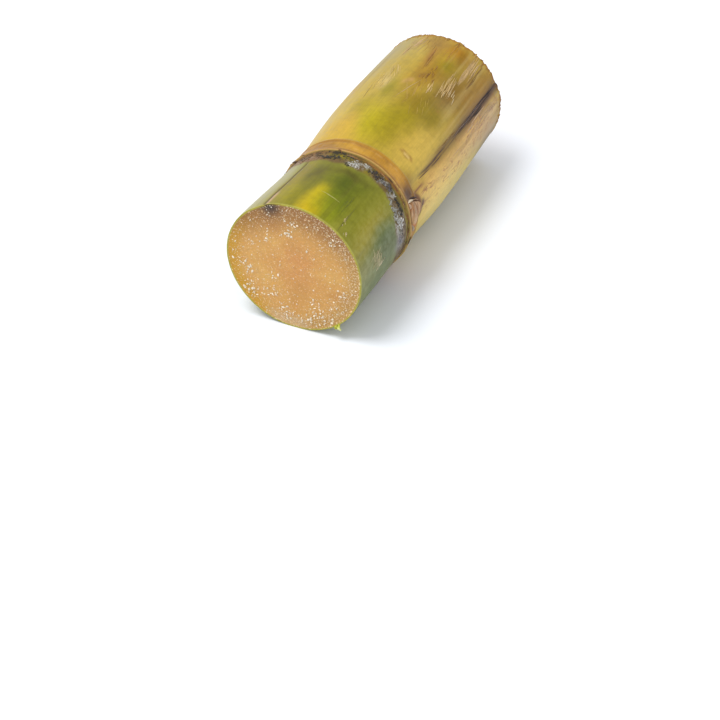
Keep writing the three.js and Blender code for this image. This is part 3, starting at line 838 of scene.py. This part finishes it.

# the bud's torn edge, and a dark sliver of painted shade beside it, from beside the lip round the bud's
# upper shoulder: length and angle of its start, length and angle of its end, width, height, bow, colour
TORN_EDGES_AND_SHADE = [
    (34.8, 21.5, 39.6, 17.6, 0.26, 1.5, 0.35, "#dccbb0"),
    (38.6, 18.6, 42.6, 12.0, 0.22, 1.0, 0.3, "#bb9470"),
    # painted shade: a near-black sliver along the curled edge, where it stands off the bud
    (37.2, 21.5, 42.4, 14.5, 0.34, 0.4, 0.3, "#3f2c28"),
    (34.9, 21.5, 35.2, 15, 0.16, 0.9, 0.1, "#c9a88a"),
    (42.9, 12, 43.8, 3, 0.18, 0.25, 0.2, "#85604a"),
    (35.6, 0, 36.6, -9, 0.22, 0.9, 0.1, "#b9a48c"),
]
start_at, start_turn, end_at, end_turn, widths, heights, bows = np.array([edge[:7] for edge in TORN_EDGES_AND_SHADE]).T
torn = slivers(np.stack([start_at, np.radians(start_turn)], 1), np.stack([end_at, np.radians(end_turn)], 1),
               widths, heights, bows, 0 * bows)
repeated_piece("torn_bud_edge_and_shade", torn, SLIVER_RINGS, 4,
               np.array([srgb(code) for *_, code in TORN_EDGES_AND_SHADE]), "bud_scales", fibre_material)

# the lip's papery rest: the leaf sheath's torn foot, clinging in short pieces below the lip, most
# of them on the bud's side
SHREDS, BESIDE_BUD = 44, 14
SHRED_TONES = np.array([srgb("#8d6238"), srgb("#7b5630"), srgb("#a98450"), srgb("#6a5034")])
middle = chance.uniform(-40, 200, SHREDS)
middle[:BESIDE_BUD] = chance.uniform(-45, 30, BESIDE_BUD)
run = chance.uniform(1.5, 6, SHREDS)
foot = lip_at(np.radians(middle)) - chance.uniform(0.15, 1.3, SHREDS)
shreds = slivers(np.stack([foot, np.radians(middle - run)], 1),
                 np.stack([foot + chance.normal(0, 0.25, SHREDS), np.radians(middle + run)], 1),
                 chance.uniform(0.1, 0.2, SHREDS), chance.uniform(0.1, 0.26, SHREDS),
                 chance.normal(0, 0.2, SHREDS), np.maximum(chance.normal(0, 0.25, SHREDS), 0))
repeated_piece("sheath_shreds", shreds, SLIVER_RINGS, 4,
               SHRED_TONES[chance.integers(0, len(SHRED_TONES), SHREDS)], "rind", fibre_material)

# splinters left standing at the upper rim by the snap of the last fibres
SPLINTERS = 130
SPLINTER_TONES = np.array([srgb("#a9731f"), srgb("#8a5c24"), srgb("#bd9448"), srgb("#9a7a3a")])
middle = chance.uniform(0, 2 * np.pi, SPLINTERS)
run = chance.uniform(1.0, 3.5, SPLINTERS)
over = chance.uniform(-0.6, 0.35, SPLINTERS)          # how far each stands past the rim
splinters = slivers(np.stack([LENGTH + over - run, middle], 1),
                    np.stack([LENGTH + over, middle + chance.normal(0, 0.02, SPLINTERS)], 1),
                    chance.uniform(0.1, 0.22, SPLINTERS), chance.uniform(0.06, 0.14, SPLINTERS),
                    chance.normal(0, 0.06, SPLINTERS), 0 * over)
repeated_piece("rim_splinters", splinters, SLIVER_RINGS, 4,
               SPLINTER_TONES[chance.integers(0, len(SPLINTER_TONES), SPLINTERS)], "rind", fibre_material)


# ---------------------------------------------------------------------------------------------
# Crumbs: bits of white pith and fibre that the saw tore from the cut ends and left stuck to them,
# and on the rind the flaking wax and soot below the lip.

BALL_RINGS, BALL_AROUND = 3, 6


def lumps(centres, outward, half_sizes):
    """Small closed lumps: a ball of few points, each moved in or out by chance, stretched to its
    half-sizes and turned by chance about the direction outward."""
    height = np.linspace(0.7, -0.7, BALL_RINGS)[:, None]
    around = np.linspace(0, 2 * np.pi, BALL_AROUND, endpoint=False)[None]
    wide = np.sqrt(1 - height ** 2)
    ball = np.stack([wide * np.cos(around), wide * np.sin(around), height + 0 * around], -1).reshape(-1, 3)
    ball = np.concatenate([ball, [[0, 0, 1], [0, 0, -1]]])
    uneven = 1 + 0.35 * chance.uniform(-1, 1, (len(centres), len(ball), 1))
    side = np.cross(outward, chance.normal(size=(len(centres), 3)))
    side = side / np.linalg.norm(side, axis=1, keepdims=True)
    axes = np.stack([side, np.cross(outward, side), outward], 1)
    return centres[:, None] + (ball * uneven * half_sizes[:, None]) @ axes


def crumb_sizes(half, *ranges):
    """Half-sizes of lumps: each lump's own size times a chance share for each direction's range."""
    return half[:, None] * np.stack([chance.uniform(least, most, len(half)) for least, most in ranges], 1)


# tufts on the lower cut: sideways and upwards from its middle, spread, how many pairs of crumbs
TUFTS = [
    (-2.2, 11.9, 0.8, 9), (-1.0, 15.3, 0.8, 8), (4.2, 7.2, 0.5, 3), (-8.8, 8.4, 0.7, 5), (-14, 5.3, 0.8, 5),
    (-18.3, -2.4, 1.3, 9), (-14.7, -4.8, 0.8, 8), (-7.2, -5.3, 0.8, 4), (-7.5, -11, 1.4, 12),
    (-15, -12, 1.6, 14), (-2.4, -17.4, 2.0, 22), (4.5, -17.6, 1.8, 16), (10.5, -15.6, 1.6, 12),
    (6.7, -11.4, 1.2, 9), (13.1, -10, 1.2, 10), (13.6, 12.6, 1.3, 10), (16.6, -6, 1.0, 8),
]
LOOSE_LOWER, LOOSE_UPPER = 520, 320       # single crumbs, strewn more thickly towards the rim
LOWER_REACH, UPPER_REACH, FLESH_RADIUS = 21.3, 20, 21.4
tufts = np.concatenate([chance.normal((x, z), spread, (2 * pairs, 2)) for x, z, spread, pairs in TUFTS])
out = LOWER_REACH * chance.uniform(0, 1, LOOSE_LOWER) ** 0.36
side = chance.uniform(0, 2 * np.pi, LOOSE_LOWER)
lower_spots = np.concatenate([tufts, np.stack([out * np.cos(side), out * np.sin(side)], -1)])
out = UPPER_REACH * chance.uniform(0, 1, LOOSE_UPPER) ** 0.45
side = chance.uniform(0, 2 * np.pi, LOOSE_UPPER)
upper_spots = np.stack([out * np.cos(side), out * np.sin(side)], -1)
lower_half = np.concatenate([0.1 + 0.32 * chance.uniform(0, 1, len(tufts)) ** 2,
                             0.07 + 0.2 * chance.uniform(0, 1, LOOSE_LOWER) ** 3])
upper_half = 0.08 + 0.3 * chance.uniform(0, 1, LOOSE_UPPER) ** 3
bits, tones = [], []
for end, spots, half in ((0, lower_spots, lower_half), (1, upper_spots, upper_half)):
    inside = np.hypot(*spots.T) < FLESH_RADIUS
    spots, half = spots[inside], half[inside]
    centre = saw_face(np.hypot(*spots.T) / CUT_RADIUS, np.arctan2(spots[:, 1], spots[:, 0]), end)
    outward = np.array([0, 2.0 * end - 1, 0]) + 0 * centre
    sizes = crumb_sizes(half, (0.8, 1.6), (0.5, 1), (0.5, 0.9))
    bits.append(lumps(centre + 0.1 * half[:, None] * outward, outward, sizes))
    tones.append(srgb("#f7ead2") * chance.uniform(0.75, 1.05, (len(spots), 1)))

# Torn pith: white and fluffy, so dull.
pith_material = dry_material("torn_white_pith", (0.3, 0.3, 0.3), 3.0, 0.6,
                             shades=(0.82, 1.1), roughness=(0.6, 0.9), strength=0.6, depth=0.08)
repeated_piece("cut_fibres", np.concatenate(bits), BALL_RINGS, BALL_AROUND, np.concatenate(tones),
               "rind", pith_material)

# wax and soot: length and angle, spread of both, how many, colour
FLAKES = [
    (29.8, 76.5, 1.1, 3.4, 40, "#b0ada4"), (32.3, 68.5, 0.5, 3.4, 18, "#aaa79e"),
    (31.0, 51, 0.9, 4, 16, "#85827e"), (31.2, 36, 0.6, 2, 10, "#a19e95"), (28.0, 33, 0.8, 3, 16, "#9c9a90"),
    (27.6, 26, 1.0, 4, 26, "#9d9c93"), (27.4, 19, 1.2, 3.4, 24, "#a6a59d"),
    (28.3, 13, 1.7, 2.4, 34, "#c8c5c0"), (28.8, 9, 1.0, 1.6, 10, "#bcb9b4"),
    (28.0, -2, 1.6, 4, 26, "#8f8c90"), (28.6, 2, 1.4, 5, 8, "#66625e"), (30.4, 96, 1.2, 9, 48, "#3a362e"),
    (33.0, 84, 0.6, 3, 14, "#38342c"), (31.2, 57, 1.2, 5, 44, "#38322f"), (31.0, 43, 0.9, 4, 20, "#565050"),
    (30.6, 26, 0.7, 7, 34, "#3a3632"), (28.5, 81.5, 0.8, 1.8, 10, "#45432a"),
    (30.4, 124, 1.6, 8, 24, "#5b452e"), (30.3, 190, 1.6, 35, 70, "#4c4438"),
    (29.8, 210, 1.6, 40, 46, "#8f8a82"), (30.0, 290, 1.6, 25, 50, "#989289"),
]
bits, tones = [], []
for at, degrees, spread, spread_degrees, many, code in FLAKES:
    s = at + chance.normal(0, 0.6, many) * spread
    a = np.radians(degrees + chance.normal(0, 0.6, many) * spread_degrees)
    outward = np.stack([np.cos(a), 0 * a, np.sin(a)], -1)
    sizes = crumb_sizes(chance.uniform(0.12, 0.42, many), (0.8, 1.5), (0.5, 1), (0.2, 0.5))
    bits.append(lumps(skin(s, a, 0.04), outward, sizes))
    tones.append(srgb(code) * chance.uniform(0.6, 1.25, (many, 1)))

# Cane wax, chalky and brittle, grey where soot and mould have grown into it: fully matt.
wax_material = dry_material("chalky_cane_wax", (0.25, 0.25, 0.25), 4.0, 0.7,
                            shades=(0.65, 1.2), roughness=(0.75, 0.95), strength=0.7, depth=0.1)
repeated_piece("wax_crust", np.concatenate(bits), BALL_RINGS, BALL_AROUND, np.concatenate(tones),
               "rind", wax_material)

# the burr, a curl of wet green rind that the saw left hanging at the lower rim: for each lump its
# angle beside the burr's middle, how far it stands out, its half-sizes and its colour
BURR_ANGLE = -50
BURR_LUMPS = [
    (-2.2, 0.2, 0.5, 0.4, 0.5, "#b7bb3c"),
    (-1, 0.6, 0.6, 0.35, 0.6, "#d3d873"),
    (0, 1.0, 0.5, 0.35, 0.5, "#e0e3a0"),
    (1, 0.5, 0.5, 0.4, 0.45, "#d3d873"),
    (2, 0.1, 0.4, 0.3, 0.4, "#b7bb3c"),
    (0.3, 1.5, 0.3, 0.2, 0.4, "#e0e3a0"),
    (-0.8, 0.0, 0.7, 0.4, 0.45, "#b7bb3c"),
]
beside, out, *sizes = np.array([lump[:5] for lump in BURR_LUMPS]).T
a = np.radians(BURR_ANGLE + beside)
centre = skin(0 * a, a, out) - [0, 0.2, 0]
centre[:, 2] = np.maximum(centre[:, 2], 0.5)
outward = np.stack([np.cos(a), -0.8 + 0 * a, np.sin(a)], -1)
outward = outward / np.linalg.norm(outward, axis=1, keepdims=True)
repeated_piece("rind_burr", lumps(centre, outward, np.stack(sizes, 1)), BALL_RINGS, BALL_AROUND,
               np.array([srgb(code) for *_, code in BURR_LUMPS]), "rind", pith_material)


# ---------------------------------------------------------------------------------------------
# The studio: a pale table, the light of a big white room with one large soft lamp high on the
# left, and a long-lensed camera looking down along the cane from its lower end.

TABLE_HALF = 3.0                          # metres, as all of the studio's sizes
table_material = bpy.data.materials.new("matt_white_table")
table_material.use_nodes = True
shader = table_material.node_tree.nodes["Principled BSDF"]
shader.inputs["Base Color"].default_value = (*srgb("#f0f4fb"), 1)
shader.inputs["Roughness"].default_value = 0.9
mesh = bpy.data.meshes.new("table")
mesh.from_pydata(np.array([[-1, -1, 0], [1, -1, 0], [1, 1, 0], [-1, 1, 0]]) * TABLE_HALF, [], [(0, 1, 2, 3)])
mesh.materials.append(table_material)
table = bpy.data.objects.new("table", mesh)
bpy.context.scene.collection.objects.link(table)

room = bpy.data.worlds.new("white_room")
room.use_nodes = True
room.node_tree.nodes["Background"].inputs["Color"].default_value = (1, 1, 1, 1)
room.node_tree.nodes["Background"].inputs["Strength"].default_value = 0.84
bpy.context.scene.world = room
bpy.context.scene.view_settings.view_transform = "Standard"

AZIMUTH, ELEVATION = np.radians(24.84), np.radians(37.81)
LAMP_AWAY, CAMERA_AWAY = 1.5, 0.9538
right = Vector((np.cos(AZIMUTH), np.sin(AZIMUTH), 0))
ahead = Vector((-np.sin(AZIMUTH), np.cos(AZIMUTH), 0))
lamp_from = (-0.6 * right - 0.15 * ahead + Vector((0, 0, 1.4))).normalized()
lamp = bpy.data.lights.new("soft_lamp", "AREA")
lamp.shape, lamp.size, lamp.energy = "DISK", 0.8, 13.5
lamp_stand = bpy.data.objects.new("soft_lamp", lamp)
lamp_stand.location = lamp_from * LAMP_AWAY
lamp_stand.rotation_euler = lamp_from.to_track_quat("Z", "Y").to_euler()
bpy.context.scene.collection.objects.link(lamp_stand)

aim = Vector((FOOT[0] + 25.1, FOOT[1] - 6.6, 0)) * MM
sight = ahead * np.cos(ELEVATION) - Vector((0, 0, np.sin(ELEVATION)))
camera = bpy.data.objects.new("camera", bpy.data.cameras.new("camera"))
camera.data.lens, camera.data.sensor_width = 158.5, 36
camera.location = aim - sight * CAMERA_AWAY
camera.rotation_euler = sight.to_track_quat("-Z", "Y").to_euler()
bpy.context.scene.collection.objects.link(camera)
bpy.context.scene.camera = camera
